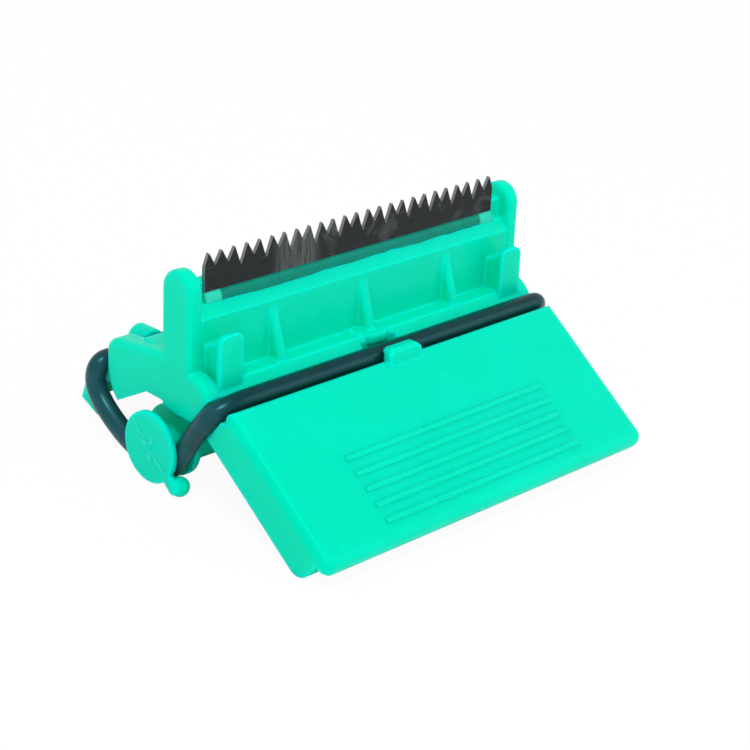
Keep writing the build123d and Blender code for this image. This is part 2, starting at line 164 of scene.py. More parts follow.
class ShaderTree(NodeTree):
    """A material under construction, on Object coordinates."""

    def __init__(self, name: str) -> None:
        """Make the material with an empty tree.

        Args:
            name: What the finish is.
        """
        self.material = bpy.data.materials.new(name)
        self.material.use_nodes = True
        super().__init__(self.material.node_tree)
        self.tree.nodes.clear()
        self.place = self.add("ShaderNodeTexCoord", {}).outputs["Object"]

    def clouds(self, size: float, detail: float, roughness: float = 0.5, distortion: float = 0.0) -> Socket:
        """Add noise that looks the same in every direction.

        Args:
            size: Size of its features, in millimetres.
            detail: How many finer layers it has.
            roughness: How strong the finer layers are.
            distortion: How far it is warped.

        Returns:
            Its strength.
        """
        return self.add("ShaderNodeTexNoise", {
            "Vector": self.place, "Scale": per_mm(size), "Detail": detail, "Roughness": roughness,
            "Distortion": distortion,
        }).outputs["Fac"]

    def streaks(self, sizes: Point, detail: float, roughness: float = 0.5, turn: float = 0.0) -> Socket:
        """Add noise that is drawn out along one axis or more.

        Args:
            sizes: Size of its features along X, Y and Z, in millimetres.
            detail: How many finer layers it has.
            roughness: How strong the finer layers are.
            turn: How far it is turned about Y, in degrees.

        Returns:
            Its strength.
        """
        mapped = self.add("ShaderNodeMapping", {
            "Vector": self.place, "Rotation": (0.0, math.radians(turn), 0.0),
            "Scale": tuple(per_mm(size) for size in sizes),
        })
        return self.add("ShaderNodeTexNoise", {
            "Vector": mapped, "Scale": 1.0, "Detail": detail, "Roughness": roughness,
        }).outputs["Fac"]

    def aside(self, middle: float = 0.0) -> Socket:
        """Measure how far a point lies from a place along the blade.

        Args:
            middle: The place, in millimetres.

        Returns:
            The distance, in metres.
        """
        along = self.add("ShaderNodeSeparateXYZ", {"Vector": self.place}).outputs["X"]
        return self.calculate("ABSOLUTE", self.calculate("SUBTRACT", along, middle * MM))

    def remap(self, value: Socket, source: Pair, target: Pair = (0.0, 1.0), curve: str = "LINEAR") -> Socket:
        """Carry a value from one range over to another, and stop at its ends.

        Args:
            value: The value.
            source: The range that it comes from.
            target: The range that it goes to.
            curve: The way between the ends.

        Returns:
            The new value.
        """
        return self.add("ShaderNodeMapRange", {
            "Value": value, "From Min": source[0], "From Max": source[1],
            "To Min": target[0], "To Max": target[1],
        }, interpolation_type=curve).outputs["Result"]

    def mix(self, share: Socket, low: Socket | str, high: Socket | str) -> Socket:
        """Blend two colours.

        Args:
            share: How much of the second colour shows.
            low: The first colour, as a socket or an sRGB hex code.
            high: The second colour, as a socket or an sRGB hex code.

        Returns:
            The blended colour.
        """
        low, high = (linear(end) if isinstance(end, str) else end for end in (low, high))
        return self.add("ShaderNodeMix", {"Factor": share, 6: low, 7: high}, data_type="RGBA").outputs[2]

    def bump(self, height: Socket, strength: float, depth: float, normal: Socket | None = None) -> Socket:
        """Raise the surface by a texture.

        Args:
            height: The texture.
            strength: How strongly it shows.
            depth: Its depth, in millimetres.
            normal: The normal to start from, where it isn't the surface's own.

        Returns:
            The raised normal.
        """
        inputs = {"Height": height, "Strength": strength, "Distance": depth * MM}
        if normal is not None:
            inputs["Normal"] = normal
        return self.add("ShaderNodeBump", inputs).outputs["Normal"]

    def finish(self, inputs: dict[str, object], **settings: object) -> bpy.types.Material:
        """End the tree with its surface.

        Args:
            inputs: The surface's inputs.
            settings: The surface's settings.

        Returns:
            The finished material.
        """
        surface = self.add("ShaderNodeBsdfPrincipled", inputs, **settings)
        self.add("ShaderNodeOutputMaterial", {"Surface": surface})
        return self.material


@dataclass(frozen=True)
class MouldedPlastic:
    """Injection-moulded polypropylene: satin gloss, faintly translucent, softly mottled.

    Edges are painted paler than the flats, as a painted highlight.
    """

    name: str = "moulded_green_polypropylene"
    face: str = "00e6c3"
    deep: str = "00dbb3"
    # edge: colour of the painted edge highlight.
    edge: str = "00fce6"
    roughness: float = 0.27
    smoother: float = 0.05
    rougher: float = 0.06
    shine: float = 0.1
    shine_tint: str = "20ffe6"
    bending: float = 1.49
    glow_share: float = 0.6
    glow_depth: float = 2.2
    glow_reach: Point = (0.3, 1.0, 0.8)
    mottle_size: float = 9.0
    grain_size: float = 0.35
    grain_depth: float = 0.004
    grain_strength: float = 0.5
    edge_round: float = 0.4
    highlight_reach: float = 0.8
    highlight_match: Pair = (0.995, 0.88)
    edge_samples: int = 6

    def rounded(self, tree: ShaderTree, radius: float) -> Socket:
        """Find the normal as it would be with rounder edges.

        Args:
            tree: The material's tree.
            radius: The edges' radius, in millimetres.

        Returns:
            The normal.
        """
        bevel = tree.add("ShaderNodeBevel", {"Radius": radius * MM}, samples=self.edge_samples)
        return bevel.outputs["Normal"]

    def material(self) -> bpy.types.Material:
        """Build the material.

        Returns:
            The finished material.
        """
        tree = ShaderTree(self.name)
        mottle = tree.clouds(self.mottle_size, detail=2.0)
        flats = tree.mix(mottle, self.deep, self.face)
        # Painted highlight: where a wide bevel normal turns away from the surface normal, the base colour blends
        # towards the edge colour.
        around = self.rounded(tree, self.highlight_reach)
        surface = tree.add("ShaderNodeNewGeometry", {}).outputs["Normal"]
        match = tree.add("ShaderNodeVectorMath", {0: around, 1: surface}, operation="DOT_PRODUCT")
        painted_highlight = tree.remap(match.outputs["Value"], self.highlight_match)
        grain = tree.clouds(self.grain_size, detail=3.0)
        soft = self.rounded(tree, self.edge_round)
        gloss = (self.roughness - self.smoother, self.roughness + self.rougher)
        return tree.finish({
            "Base Color": tree.mix(painted_highlight, flats, self.edge), "Roughness": tree.remap(mottle, (0.0, 1.0), gloss),
            "IOR": self.bending, "Specular IOR Level": self.shine, "Specular Tint": linear(self.shine_tint),
            "Subsurface Weight": self.glow_share, "Subsurface Radius": self.glow_reach,
            "Subsurface Scale": self.glow_depth * MM,
            "Normal": tree.bump(grain, self.grain_strength, self.grain_depth, soft),
        }, subsurface_method="RANDOM_WALK")


# Both variants keep the painted edge highlight, each with its own edge colour.
RIDGE_PLASTIC = MouldedPlastic(
    "ridge_green_polypropylene", edge="00f0d0", glow_depth=0.4, edge_round=0.05, highlight_reach=0.1,
)
WHITENED_PLASTIC = MouldedPlastic(
    "stress_whitened_polypropylene", face="40fae8", deep="34f2de", edge="50fff0", glow_share=0.2,
    edge_round=0.02, highlight_reach=0.03,
)


@dataclass(frozen=True)
class TemperedSteel:
    """Tempered spring steel strip: near black, with pale handling smears and fine scratches."""

    name: str = "tempered_spring_steel"
    dark: str = "313233"
    smear: str = "7a7d7f"
    roughness: float = 0.34
    rougher: float = 0.2
    smear_size: float = 5.5
    smear_from: Pair = (0.57, 0.8)
    smear_share: float = 0.6
    haze_middle: float = -10.5
    haze_half: float = 4.8
    haze_core: float = 0.4
    haze_streak: float = 0.25
    haze_from: Pair = (0.4, 0.7)
    haze_shares: Pair = (0.1, 0.9)
    scratch_length: float = 6.0
    scratch_width: float = 0.12
    scratch_turn: float = 24.0
    scratch_from: Pair = (0.66, 0.74)
    scratch_share: float = 0.5
    scratch_strength: float = 0.3
    scratch_depth: float = 0.01

    def material(self) -> bpy.types.Material:
        """Build the material.

        Returns:
            The finished material.
        """
        tree = ShaderTree(self.name)
        cloud = tree.clouds(self.smear_size, detail=5.0, roughness=0.62, distortion=1.2)
        patch = tree.remap(cloud, self.smear_from, (0.0, self.smear_share))
        haze_ends = (self.haze_half * MM, self.haze_half * self.haze_core * MM)
        inside = tree.remap(tree.aside(self.haze_middle), haze_ends, curve="SMOOTHSTEP")
        streak = tree.streaks((self.haze_streak, self.smear_size, self.smear_size), detail=4.0, roughness=0.7)
        haze = tree.calculate("MULTIPLY", inside, tree.remap(streak, self.haze_from, self.haze_shares))
        scratch_sizes = (self.scratch_length, self.scratch_length, self.scratch_width)
        line = tree.streaks(scratch_sizes, detail=2.0, turn=self.scratch_turn)
        scratch = tree.remap(line, self.scratch_from, (0.0, self.scratch_share))
        pale = tree.calculate("MAXIMUM", tree.calculate("MAXIMUM", patch, haze), scratch)
        return tree.finish({
            "Base Color": tree.mix(pale, self.dark, self.smear), "Metallic": 1.0,
            "Roughness": tree.remap(pale, (0.0, 1.0), (self.roughness, self.roughness + self.rougher)),
            "Normal": tree.bump(line, self.scratch_strength, self.scratch_depth),
        })


@dataclass(frozen=True)
class ShearedSteel:
    """Sheared steel edge: paler and rougher than the strip's face, with fine marks."""

    name: str = "sheared_steel_edge"
    pale: str = "a4a6a8"
    shade: str = "77797b"
    roughness: float = 0.42
    mark_width: float = 0.1

    def material(self) -> bpy.types.Material:
        """Build the material.

        Returns:
            The finished material.
        """
        tree = ShaderTree(self.name)
        marks = tree.clouds(self.mark_width, detail=2.0)
        return tree.finish({
            "Base Color": tree.mix(marks, self.shade, self.pale), "Metallic": 1.0,
            "Roughness": self.roughness,
        })


@dataclass(frozen=True)
class SetGlue:
    """Set clear glue: wet gloss, dark where the steel lies behind it and pale past its ends."""

    name: str = "set_clear_glue"
    deep: str = "067060"
    over_steel: str = "0a927c"
    over_plastic: str = "2ed0b4"
    steel_half: float = 23.2
    fade: float = 0.4
    roughness: float = 0.22
    shine: float = 0.2
    shine_tint: str = "70ffe8"
    bending: float = 1.5
    cloud_size: float = 3.0
    cloud_strength: float = 0.3
    cloud_depth: float = 0.05

    def material(self) -> bpy.types.Material:
        """Build the material.

        Returns:
            The finished material.
        """
        tree = ShaderTree(self.name)
        past = tree.remap(tree.aside(), (self.steel_half * MM, (self.steel_half + self.fade) * MM))
        cloud = tree.clouds(self.cloud_size, detail=3.0)
        tint = tree.mix(cloud, self.deep, self.over_steel)
        return tree.finish({
            "Base Color": tree.mix(past, tint, self.over_plastic), "Roughness": self.roughness,
            "IOR": self.bending, "Specular IOR Level": self.shine, "Specular Tint": linear(self.shine_tint),
            "Normal": tree.bump(cloud, self.cloud_strength, self.cloud_depth),
        })


@dataclass(frozen=True)
class ExtrudedRubber:
    """Extruded solid rubber cord: blue-black with a teal tint that is partly painted bounce light, clouded, with a
    painted sheen on the strands at its ends.
    """

    name: str = "extruded_black_rubber"
    # The teal in dark and cloud is partly painted bounce light from the green plastic.
    dark: str = "00181c"
    cloud: str = "05343a"
    # Colour of the painted sheen on the end strands.
    painted_sheen: str = "1e464f"
    sheen_from: float = 27.0
    sheen_to: float = 30.6
    sheen_clouds: Pair = (0.3, 0.6)
    sheen_shares: Pair = (0.35, 1.0)
    roughness: float = 0.3
    shine: float = 0.5
    shine_tint: str = "7ce8f4"
    bending: float = 1.52
    cloud_size: float = 4.0
    speck_size: float = 0.3
    speck_strength: float = 0.4
    speck_depth: float = 0.02

    def material(self) -> bpy.types.Material:
        """Build the material.

        Returns:
            The finished material.
        """
        tree = ShaderTree(self.name)
        cloud = tree.clouds(self.cloud_size, detail=4.0)
        body = tree.mix(cloud, self.dark, self.cloud)
        # Painted sheen: the end strands are lightened in cloudy patches, fading in along the blade between the two
        # bounds.
        ends = (self.sheen_from * MM, self.sheen_to * MM)
        end_strands = tree.remap(tree.aside(), ends, curve="SMOOTHSTEP")
        sheen_amount = tree.calculate("MULTIPLY", end_strands, tree.remap(cloud, self.sheen_clouds, self.sheen_shares))
        specks = tree.clouds(self.speck_size, detail=2.0)
        return tree.finish({
            "Base Color": tree.mix(sheen_amount, body, self.painted_sheen), "Roughness": self.roughness,
            "IOR": self.bending, "Specular IOR Level": self.shine, "Specular Tint": linear(self.shine_tint),
            "Normal": tree.bump(specks, self.speck_strength, self.speck_depth),
        })


@dataclass(frozen=True)
class UprightFrame:
    """The cutter's own frame, square to its blade, as it leans on the surface that it stands on.

    Attributes:
        back: Place of the tooth tips across the blade, in metres.
        up: Height of the tooth tips, in metres.
        lean: How far the frame leans to the back, in radians.
    """

    back: float
    up: float
    lean: float

    @classmethod
    def of_model(cls, blade_thickness: float) -> "UprightFrame":
        """Read the frame from the joint's axis and the blade's corners.

        Args:
            blade_thickness: Thickness of the strip, in millimetres.

        Returns:
            The upright frame.
        """
        axis = frame["joints"][0]["axis"]
        lean = math.atan2(abs(axis[1]), abs(axis[2]))
        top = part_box("blade")[1]
        half = blade_thickness / 2 * MM
        return cls(top[1] - half * math.cos(lean), top[2] - half * math.sin(lean), lean)

    def matrix(self) -> Matrix:
        """Find the way from the upright frame to the cutter's standing place.

        Returns:
            The matrix, for points in metres.
        """
        return Matrix.Translation((0, self.back, self.up)) @ Matrix.Rotation(-self.lean, 4, "X")

    def point(self, along: float, back: float, up: float) -> Vector:
        """Find the standing place of an upright point.

        Args:
            along: Its place along the blade, in millimetres.
            back: Its place to the back, in millimetres.
            up: Its height over the tooth tips, in millimetres.

        Returns:
            The place, in metres.
        """
        return self.matrix() @ (Vector((along, back, up)) * MM)


def linked(name: str, data: bpy.types.ID) -> bpy.types.Object:
    """Make an object and link it to the scene.

    Args:
        name: The object's name.
        data: Its mesh, curve, lamp or camera.

    Returns:
        The linked object.
    """
    made = bpy.data.objects.new(name, data)
    bpy.context.collection.objects.link(made)
    return made


def mesh_piece(name: str, mesh: bpy.types.Mesh, body: Body) -> bpy.types.Object:
    """Link a mesh as a piece of the cutter that rides on a body.

    Args:
        name: The piece's name.
        mesh: Its mesh, already in place.
        body: The body that carries it.

    Returns:
        The linked object.
    """
    piece = linked(name, mesh)
    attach(piece, body.value)
    LOG.info("%s: %d faces", name, len(mesh.polygons))
    return piece


def dress_solid(name: str, material: bpy.types.Material) -> None:
    """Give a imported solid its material.

    Args:
        name: The solid's name.
        material: The material.
    """
    mesh = frame["nodes"][name].data
    mesh.materials.clear()
    mesh.materials.append(material)
    LOG.info("%s: %d faces", name, len(mesh.polygons))


def swept(rings: list[list[Vector]]) -> bmesh.types.BMesh:
    """Skin a row of rings that have as many points each.

    Args:
        rings: The rings, each a closed outline.

    Returns:
        A closed shell with its ends capped and its faces outwards.
    """
    shell = bmesh.new()
    rows = [[shell.verts.new(point) for point in ring] for ring in rings]
    for row, following in zip(rows, rows[1:]):
        for place, corner in enumerate(row):
            shell.faces.new((corner, row[place - 1], following[place - 1], following[place]))
    shell.faces.new(rows[0])
    shell.faces.new(rows[-1])
    bmesh.ops.recalc_face_normals(shell, faces=shell.faces)
    return shell


def to_mesh(
    shell: bmesh.types.BMesh, name: str, *materials: bpy.types.Material, smooth: bool = True,
) -> bpy.types.Mesh:
    """Turn a bmesh into a mesh and free it.

    Args:
        shell: The bmesh.
        name: The mesh's name.
        materials: Its materials, in order.
        smooth: Whether its faces shade smooth.

    Returns:
        The mesh.
    """
    for face in shell.faces:
        face.smooth = smooth
    mesh = bpy.data.meshes.new(name)
    shell.to_mesh(mesh)
    shell.free()
    for material in materials:
        mesh.materials.append(material)
    return mesh


def plain_mesh(holder: bpy.types.Object) -> bpy.types.Mesh:
    """Turn an object with its modifiers into a plain mesh, and remove the object.

    Args:
        holder: The object, linked to the scene.

    Returns:
        The mesh.
    """
    graph = bpy.context.evaluated_depsgraph_get()
    mesh = bpy.data.meshes.new_from_object(holder.evaluated_get(graph), depsgraph=graph)
    bpy.data.objects.remove(holder)
    return mesh


class PatternTree(NodeTree):
    """A geometry tree with named inputs, run once and turned into a plain mesh."""

    SOCKETS: dict[type, str] = {
        float: "NodeSocketFloat", int: "NodeSocketInt", bpy.types.Object: "NodeSocketObject",
        bpy.types.Material: "NodeSocketMaterial",
    }

    def __init__(self, name: str) -> None:
        """Start the tree with its geometry output.

        Args:
            name: The tree's name.
        """
        super().__init__(bpy.data.node_groups.new(name, "GeometryNodeTree"))
        self.tree.interface.new_socket("Geometry", in_out="OUTPUT", socket_type="NodeSocketGeometry")
        self.values: dict[str, object] = {}

    def inputs(self, **values: object) -> dict[str, Socket]:
        """Args:
            values: Input name to its value: a float, an int, a mesh object or a material.

        Returns:
            Input name to the socket that carries it.
        """
        for name, value in values.items():
            made = self.tree.interface.new_socket(name, in_out="INPUT", socket_type=self.SOCKETS[type(value)])
            self.values[made.identifier] = value
        group = self.tree.nodes.new("NodeGroupInput")
        return {name: group.outputs[name] for name in values}

    def compare(self, operation: str, value: Socket, limit: float) -> bpy.types.Node:
        """Compare a number with a limit.

        Args:
            operation: How they are compared.
            value: The number.
            limit: The limit.

        Returns:
            The node that says whether it is so.
        """
        return self.add("FunctionNodeCompare", {0: value, 1: limit}, operation=operation)

    def run(self, shape: bpy.types.Node, material: Socket, name: str) -> bpy.types.Mesh:
        """Realize the shape, set its material and return it as a plain mesh.

        Args:
            shape: The node whose geometry to end with.
            material: The material socket.
            name: The mesh's name.

        Returns:
            The mesh that the tree makes.
        """
        real = self.add("GeometryNodeRealizeInstances", {"Geometry": shape})
        dressed = self.add("GeometryNodeSetMaterial", {"Geometry": real, "Material": material})
        self.add("NodeGroupOutput", {"Geometry": dressed})
        carrier = linked(name + "_carrier", bpy.data.meshes.new(name + "_carrier"))
        modifier = carrier.modifiers.new(name, "NODES")
        modifier.node_group = self.tree
        for identifier, value in self.values.items():
            modifier[identifier] = value
        mesh = plain_mesh(carrier)
        mesh.name = name
        return mesh


@dataclass
class GripRidges:
    """The low grip ridges on the saddle's press plate."""

    plastic: bpy.types.Material
    count: int = 5
    length: float = 36.0
    pitch: float = 2.3
    radius: float = 0.55
    proud: float = 0.2
    down: float = 3.6
    stations: int = 120
    sides: int = 24
    blunt: float = 0.3

    def row(self) -> bpy.types.Mesh:
        """Make the ridges as a row of rods with rounded ends, on the flat.

        Returns:
            The ridges' mesh, along X, stacked along Y.
        """
        pattern = PatternTree("grip_ridges")
        inputs = pattern.inputs(
            Count=self.count, Length=self.length * MM, Pitch=self.pitch * MM, Radius=self.radius * MM,
            Plastic=self.plastic,
        )
        start, end = (
            pattern.add("ShaderNodeCombineXYZ", {"X": pattern.calculate("MULTIPLY", inputs["Length"], half)})
            for half in (-0.5, 0.5)
        )
        rod = pattern.add("GeometryNodeCurvePrimitiveLine", {"Start": start, "End": end})
        fine = pattern.add("GeometryNodeResampleCurve", {"Curve": rod, "Count": self.stations})
        way = pattern.add("GeometryNodeSplineParameter", {}).outputs["Factor"]
        near = pattern.calculate("MINIMUM", way, pattern.calculate("SUBTRACT", 1.0, way))
        far = pattern.calculate("MULTIPLY", near, inputs["Length"])
        share = pattern.calculate("DIVIDE", far, inputs["Radius"], clamp=True)
        swell = pattern.calculate("MAXIMUM", pattern.calculate("SQRT", share), self.blunt)
        shaped = pattern.add("GeometryNodeSetCurveRadius", {"Curve": fine, "Radius": swell})
        ring = pattern.add("GeometryNodeCurvePrimitiveCircle", {
            "Resolution": self.sides, "Radius": inputs["Radius"],
        })
        solid = pattern.add("GeometryNodeCurveToMesh", {
            "Curve": shaped, "Profile Curve": ring, "Fill Caps": True,
        })
        step = pattern.add("ShaderNodeCombineXYZ", {"Y": inputs["Pitch"]})
        places = pattern.add("GeometryNodeMeshLine", {"Count": inputs["Count"], "Offset": step})
        copies = pattern.add("GeometryNodeInstanceOnPoints", {"Points": places, "Instance": solid})
        return pattern.run(copies, inputs["Plastic"], "grip_ridges")

    def build(self) -> None:
        """Lay the ridges on the lower half of the press plate, sunk until only their crowns stand proud."""
        face = next(mount for mount in frame["record"]["mounts"] if mount["name"] == "press_face")
        normal = Vector(face["axis"]).normalized()
        along = Vector((1, 0, 0))
        uphill = normal.cross(along)
        sunk = (self.proud - self.radius) * MM
        middle = (self.count - 1) / 2 * self.pitch
        centre = Vector(face["pos_m"]) + normal * sunk - uphill * (self.down + middle) * MM
        turn = Matrix((along, uphill, normal)).transposed().to_4x4()
        mesh = self.row()
        mesh.transform(Matrix.Translation(centre) @ turn)
        for polygon in mesh.polygons:
            polygon.use_smooth = True
        mesh_piece("grip_ridges", mesh, Body.SADDLE)


@dataclass
class Blade:
    """The toothed strip, its gullets cut to two depths, with a narrower foot in the saddle."""

    face_steel: bpy.types.Material
    edge_steel: bpy.types.Material
    upright: UprightFrame
    thickness: float = 0.5
    teeth: int = 25
    pitch: float = 2.1
    shallow: float = 1.6
    deep: float = 2.4
    land: float = 0.12
    gullet: float = 0.12
    margin: float = 0.7
    shoulder: float = 5.0
    foot_inset: float = 2.7
    foot: float = 9.0
    weld: float = 0.0045
    burr: float = 0.045
    burr_angle: float = 40.0
    face_share: float = 0.9

    def plate(self, shell: bmesh.types.BMesh, outline: list[Pair], open_at: tuple[float, ...]) -> None:
        """Add a length of the strip, without walls where its neighbours join on.

        Args:
            shell: The bmesh to add it to.
            outline: Its corners, along and up.
            open_at: The places along the blade where it stays open.
        """
        front, rear = (
            [shell.verts.new(Vector((along, back, up)) * MM) for along, up in outline]
            for back in (-self.thickness / 2, self.thickness / 2)
        )
        shell.faces.new(front)
        shell.faces.new(rear)
        for place, (along, _) in enumerate(outline):
            following = (place + 1) % len(outline)
            if along not in open_at or along != outline[following][0]:
                shell.faces.new((front[place], rear[place], rear[following], front[following]))

    def cell(self, name: str, depth: float) -> bpy.types.Object:
        """Make the strip between two tooth tips, with one gullet.

        Args:
            name: The cell's name.
            depth: The gullet's depth below the tips.

        Returns:
            An object with an open shell, along X from 0 to one pitch.
        """
        middle = self.pitch / 2
        outline = [
            (0, 0), (self.land / 2, 0),
            (middle - self.gullet / 2, -depth), (middle + self.gullet / 2, -depth),
            (self.pitch - self.land / 2, 0), (self.pitch, 0),
            (self.pitch, -self.shoulder), (0, -self.shoulder),
        ]
        shell = bmesh.new()
        self.plate(shell, outline, open_at=(0, self.pitch))
        return bpy.data.objects.new(name, to_mesh(shell, name, smooth=False))

    def strip_mesh(self) -> bpy.types.Mesh:
        """Line up the cells from the first tip to the last: every second gullet is deep, but not the first.

        Returns:
            The toothed strip, open at both ends.
        """
        cells = self.cell("shallow_gullet", self.shallow), self.cell("deep_gullet", self.deep)
        pattern = PatternTree("blade_teeth")
        inputs = pattern.inputs(
            Gullets=self.teeth - 1, Pitch=self.pitch * MM, Shallow=cells[0], Deep=cells[1],
            Steel=self.face_steel,
        )
        step = pattern.add("ShaderNodeCombineXYZ", {"X": inputs["Pitch"]})
        row = pattern.add("GeometryNodeMeshLine", {"Count": inputs["Gullets"], "Offset": step})
        place = pattern.add("GeometryNodeInputIndex", {}).outputs[0]
        even = pattern.compare("LESS_THAN", pattern.calculate("MODULO", place, 2.0), 0.5)
        past_first = pattern.compare("GREATER_THAN", place, 0.5)
        deep = pattern.add("FunctionNodeBooleanMath", {0: even, 1: past_first}, operation="AND")
        shallow = pattern.add("FunctionNodeBooleanMath", {0: deep}, operation="NOT")
        joined = pattern.add("GeometryNodeJoinGeometry", {})
        for name, chosen in (("Shallow", shallow), ("Deep", deep)):
            source = pattern.add("GeometryNodeObjectInfo", {"Object": inputs[name]})
            copies = pattern.add("GeometryNodeInstanceOnPoints", {
                "Points": row, "Selection": chosen, "Instance": source.outputs["Geometry"],
            })
            pattern.tree.links.new(copies.outputs[0], joined.inputs[0])
        mesh = pattern.run(joined, inputs["Steel"], "blade_strip")
        for holder in cells:
            bpy.data.objects.remove(holder)
        return mesh

    def close(self, shell: bmesh.types.BMesh, side: int) -> None:
        """Add the strip's end past its last tip.

        Args:
            shell: The strip, centred on the middle tooth.
            side: -1 for the left end, 1 for the right end.
        """
        tip = side * (self.teeth - 1) / 2 * self.pitch
        end = tip + side * self.margin
        outline = [
            (tip, 0), (tip, -self.shoulder), (end, -self.shoulder), (end, -self.shallow),
            (tip + side * self.land / 2, 0),
        ]
        self.plate(shell, outline, open_at=(tip,))

    def build(self) -> None:
        """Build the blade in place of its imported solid."""
        half = (self.teeth - 1) / 2 * self.pitch
        shell = bmesh.new()
        shell.from_mesh(self.strip_mesh())
        bmesh.ops.translate(shell, verts=shell.verts, vec=(-half * MM, 0, 0))
        for side in (-1, 1):
            self.close(shell, side)
        bmesh.ops.remove_doubles(shell, verts=shell.verts, dist=self.weld * MM)
        foot_half = half + self.margin - self.foot_inset
        span = Vector((2 * foot_half, self.thickness, self.foot - self.shoulder)) * MM
        middle = Vector((0, 0, -(self.foot + self.shoulder) / 2 * MM))
        bmesh.ops.create_cube(shell, size=1, matrix=Matrix.Translation(middle) @ Matrix.Diagonal((*span, 1)))
        bmesh.ops.recalc_face_normals(shell, faces=shell.faces)
        sharp = math.radians(self.burr_angle)
        profile = [edge for edge in shell.edges if edge.is_manifold and edge.calc_face_angle() > sharp]
        bmesh.ops.bevel(shell, geom=profile, offset=self.burr * MM, segments=1, affect="EDGES")
        for face in shell.faces:
            face.material_index = 0 if abs(face.normal.y) > self.face_share else 1
        mesh = to_mesh(shell, "toothed_blade", self.face_steel, self.edge_steel, smooth=False)
        mesh.transform(self.upright.matrix())
        piece = mesh_piece("toothed_blade", mesh, Body.SADDLE)
        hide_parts("blade")


@dataclass
class GlueBead:
    """The bead of clear glue along the blade's foot, which sags unevenly over the wall's lip.

    It starts at its root on the strip, swells at its brow and chest, and thins out over the lip.
    """

    glue: bpy.types.Material
    upright: UprightFrame
    half: float = 25.88
    top: float = 4.9
    root_front: float = 0.23
    brow_front: float = 0.32
    brow_fall: float = 0.35
    chest_swell: float = 0.6
    chest_fall: float = 0.85
    lip_drop: float = 6.2
    lip_front: float = 0.6
    lip_rise: float = 0.05
    lip_skin: float = 1.6
    band_run: float = 1.15
    band_fall: float = 1.55
    skin_half: float = 0.05
    sunk: float = 0.2
    sunk_fall: float = 0.1
    swell: float = 0.1
    sag: float = 0.16
    sag_change: float = 0.2
    sag_least: float = 0.03
    wave: float = 5.5
    wave_seed: Pair = (0.3, 0.7)
    ripple_share: float = 0.5
    ripple_pace: float = 3.0
    ripple_seed: Pair = (2.0, 5.0)
    stations: int = 260

    def sag_at(self, along: float) -> float:
        """Find how far the bead runs down past the lip at one place.

        Args:
            along: The place along the blade.

        Returns:
            The run, in millimetres.
        """
        wave = noise.noise(Vector((along / self.wave, *self.wave_seed)))
        ripple = noise.noise(Vector((along / self.wave * self.ripple_pace, *self.ripple_seed)))
        return max(self.sag_least, self.sag + self.sag_change * (wave + self.ripple_share * ripple))

    def ring(self, along: float) -> list[Vector]:
        """Outline of the bead at one place.

        Args:
            along: The place along the blade.

        Returns:
            The outline's points, in upright metres.
        """
        slope = Vector((-self.band_run, -self.band_fall)).normalized()
        skin = Vector((slope.y, -slope.x)) * self.skin_half
        lip = Vector((-self.lip_front, -self.lip_drop))
        foot = lip + slope * self.sag_at(along)
        points = [
            (-self.root_front, -self.top),
            (-self.brow_front - self.swell, -self.top - self.brow_fall),
            (-self.lip_front - self.swell * self.chest_swell, -self.top - self.chest_fall),
            (lip.x + skin.x * self.lip_skin, lip.y + self.lip_rise),
            (foot.x + skin.x, foot.y + skin.y),
            (foot.x - skin.x, foot.y - skin.y),
            (lip.x + self.sunk, lip.y - self.sunk_fall),
            (-self.sunk, -self.lip_drop + self.sunk_fall),
        ]
        return [Vector((along, back, up)) * MM for back, up in points]

    def build(self) -> None:
        """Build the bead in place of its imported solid."""
        places = [self.half * (2 * step / self.stations - 1) for step in range(self.stations + 1)]
        mesh = to_mesh(swept([self.ring(along) for along in places]), "glue_bead", self.glue)
        mesh.transform(self.upright.matrix())
        piece = mesh_piece("glue_bead", mesh, Body.SADDLE)
        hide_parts("blade_bead")


